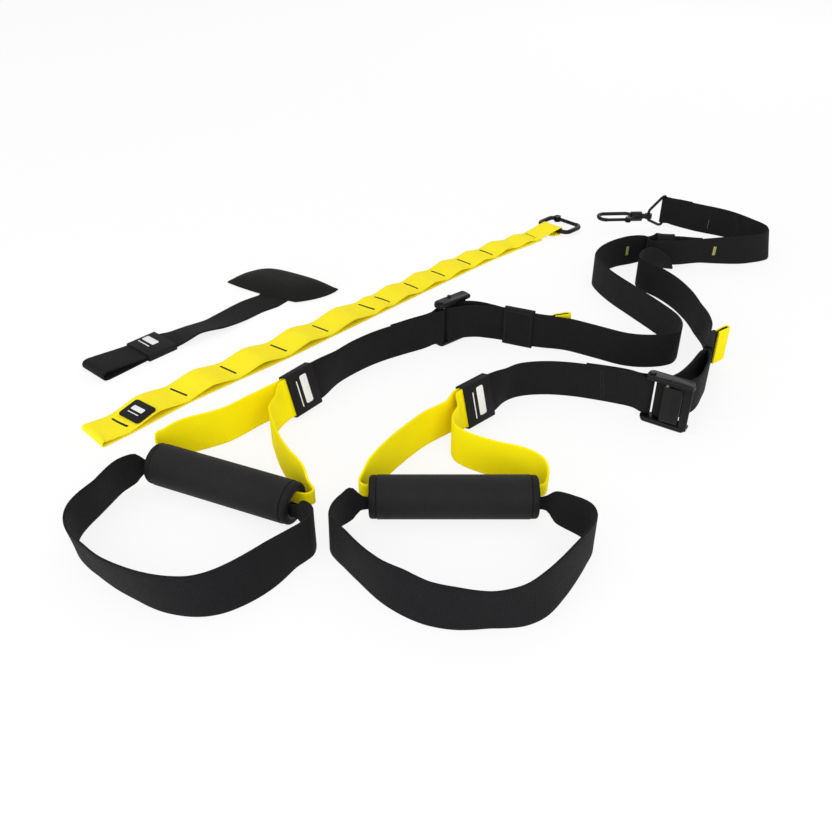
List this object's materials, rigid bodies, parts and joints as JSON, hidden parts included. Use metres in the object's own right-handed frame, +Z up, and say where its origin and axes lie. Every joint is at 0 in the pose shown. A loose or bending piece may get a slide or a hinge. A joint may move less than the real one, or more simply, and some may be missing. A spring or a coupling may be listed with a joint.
{
  "type": "suspension trainer",
  "caption": "Suspension trainer of black and yellow webbing with foam handles, foot cradles, cam buckles, a swivel carabiner, an anchor strap and a door anchor, lying on the floor.",
  "frame": {"origin": "bottom centre of the bounding box, on the floor that the trainer lies on", "axes": "+Z up, +Y away from the viewer of the picture, +X to the viewer's right"},
  "size_m": [0.7888, 0.7442, 0.05],
  "materials": {
    "black_webbing": "woven nylon, matt",
    "yellow_webbing": "woven nylon, matt",
    "foam": "closed-cell foam, matt",
    "black_plastic": "satin",
    "black_metal": "black coated, satin",
    "label": "smooth, bare"
  },
  "bodies": {
    "webbing": {"left_handle_loop": "yellow_webbing", "left_label_sleeve": "label", "left_lower_strap": "black_webbing", "left_buckle_frame": "black_metal", "left_cam_pin": "black_metal", "left_cam_spring": "black_metal", "left_adjuster_tab": "yellow_webbing", "right_handle_loop": "yellow_webbing", "right_label_sleeve": "label", "right_lower_strap": "black_webbing", "right_buckle_frame": "black_metal", "right_cam_pin": "black_metal", "right_cam_spring": "black_metal", "right_adjuster_tab": "yellow_webbing", "main_strap": "black_webbing", "top_strap": "black_webbing"},
    "left_grip": {"left_foam_grip": "foam", "left_grip_tube": "black_plastic", "left_grip_collar_inner": "black_plastic", "left_grip_collar_outer": "black_plastic"},
    "left_cradle": {"left_foot_cradle": "black_webbing"},
    "left_cam": {"left_cam_lever": "black_plastic"},
    "left_slider": {"left_keeper": "black_webbing"},
    "right_grip": {"right_foam_grip": "foam", "right_grip_tube": "black_plastic", "right_grip_collar_inner": "black_plastic", "right_grip_collar_outer": "black_plastic"},
    "right_cradle": {"right_foot_cradle": "black_webbing"},
    "right_cam": {"right_cam_lever": "black_plastic"},
    "right_slider": {"right_keeper": "black_webbing"},
    "ring": {"triangle_ring": "black_metal"},
    "swivel": {"swivel_stem": "black_metal"},
    "carabiner": {"carabiner_body": "black_metal", "carabiner_gate_pin": "black_metal"},
    "gate": {"carabiner_gate": "black_metal", "carabiner_gate_spring": "black_metal"},
    "suspension_anchor": {"suspension_anchor_strap": "yellow_webbing", "suspension_anchor_patch": "label", "suspension_anchor_carabiner_body": "black_metal", "suspension_anchor_carabiner_gate_pin": "black_metal"},
    "suspension_anchor_gate": {"suspension_anchor_carabiner_gate": "black_metal", "suspension_anchor_carabiner_gate_spring": "black_metal"},
    "door_anchor": {"door_anchor_strap": "black_webbing", "door_anchor_label_band": "label", "door_anchor_pad": "foam"}
  },
  "joints": [
    {"name": "left_grip_spin", "type": "hinge", "parent": "webbing", "child": "left_grip", "pos_m": [-0.21199, -0.22928, 0.01802], "axis": [0.9171, -0.3987, 0], "continuous": true},
    {"name": "left_cradle_swing", "type": "hinge", "parent": "webbing", "child": "left_cradle", "pos_m": [-0.21199, -0.22928, 0.01802], "axis": [0.9171, -0.3987, 0], "range_deg": [-60, 0]},
    {"name": "left_cam_release", "type": "hinge", "parent": "webbing", "child": "left_cam", "pos_m": [-0.02026, 0.04244, 0.02502], "axis": [0, 0, 1], "range_deg": [0, 45], "stiffness_Nm_per_rad": 0.02},
    {"name": "left_keeper_slide", "type": "slide", "parent": "webbing", "child": "left_slider", "axis": [0.9205, -0.3907, 0], "range_m": [-0.003, 0.003]},
    {"name": "right_grip_spin", "type": "hinge", "parent": "webbing", "child": "right_grip", "pos_m": [-0.02499, -0.24728, 0.01802], "axis": [1, 0, 0], "continuous": true},
    {"name": "right_cradle_swing", "type": "hinge", "parent": "webbing", "child": "right_cradle", "pos_m": [-0.02499, -0.24728, 0.01802], "axis": [1, 0, 0], "range_deg": [-75, 0]},
    {"name": "right_cam_release", "type": "hinge", "parent": "webbing", "child": "right_cam", "pos_m": [0.17135, -0.12261, 0.02502], "axis": [0, 0, -1], "range_deg": [0, 45], "stiffness_Nm_per_rad": 0.02},
    {"name": "right_keeper_slide", "type": "slide", "parent": "webbing", "child": "right_slider", "axis": [0.342, 0.9397, 0], "range_m": [-0.003, 0.001]},
    {"name": "ring_pivot", "type": "hinge", "parent": "webbing", "child": "ring", "pos_m": [0.28101, 0.35672, 0.02152], "axis": [0, 0, 1], "range_deg": [-15, 15]},
    {"name": "swivel_pivot", "type": "hinge", "parent": "ring", "child": "swivel", "pos_m": [0.25593, 0.33782, 0.02032], "axis": [0, 0, 1], "range_deg": [-25, 25]},
    {"name": "swivel_spin", "type": "hinge", "parent": "swivel", "child": "carabiner", "pos_m": [0.25593, 0.33782, 0.02032], "axis": [-0.9986, -0.0523, 0], "continuous": true},
    {"name": "gate_open", "type": "hinge", "parent": "carabiner", "child": "gate", "pos_m": [0.22652, 0.32577, 0.02032], "axis": [0, 0, -1], "range_deg": [0, 25], "stiffness_Nm_per_rad": 0.02},
    {"name": "suspension_anchor_lift", "type": "slide", "parent": "webbing", "child": "suspension_anchor", "axis": [0, 0, 1], "range_m": [0, 0.15]},
    {"name": "suspension_anchor_gate_open", "type": "hinge", "parent": "suspension_anchor", "child": "suspension_anchor_gate", "pos_m": [0.13961, 0.36675, 0.00522], "axis": [0, 0, -1], "range_deg": [0, 25], "stiffness_Nm_per_rad": 0.02},
    {"name": "door_anchor_lift", "type": "slide", "parent": "webbing", "child": "door_anchor", "axis": [0, 0, 1], "range_m": [0, 0.15]}
  ]
}
